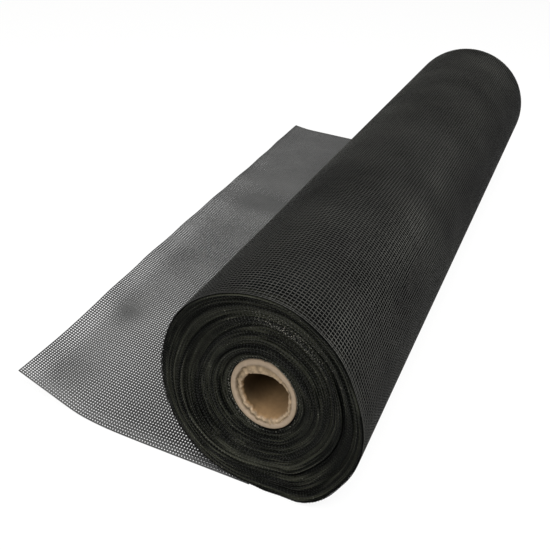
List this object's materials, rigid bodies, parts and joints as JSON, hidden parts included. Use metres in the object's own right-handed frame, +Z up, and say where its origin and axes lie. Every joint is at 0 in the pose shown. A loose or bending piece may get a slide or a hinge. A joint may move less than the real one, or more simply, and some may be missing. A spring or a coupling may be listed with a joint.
{
  "type": "roll of fiberglass insect screen",
  "caption": "Soft roll of woven insect screen cloth wound on a cardboard core, lying on its side with its loose end run out flat.",
  "frame": {"origin": "on the surface that the roll rests on, under the middle of its length, at the centre of its flat spot", "axes": "+Z up, +Y along the roll from its slumped end to its round end, and the loose end runs out towards -X"},
  "size_m": [0.183, 0.4, 0.0922],
  "materials": {
    "kraft_cardboard": "spirally wound grey-brown kraft paperboard with rough cut ends",
    "wound_screen_cloth": "charcoal vinyl-coated fiberglass yarn, many turns of open mesh",
    "loose_screen_cloth": "one layer of charcoal vinyl-coated fiberglass yarn in an open plain weave, see-through"
  },
  "bodies": {
    "root": {"core_tube": "kraft_cardboard", "wound_screen": "wound_screen_cloth", "loose_end": "loose_screen_cloth"}
  },
  "joints": []
}
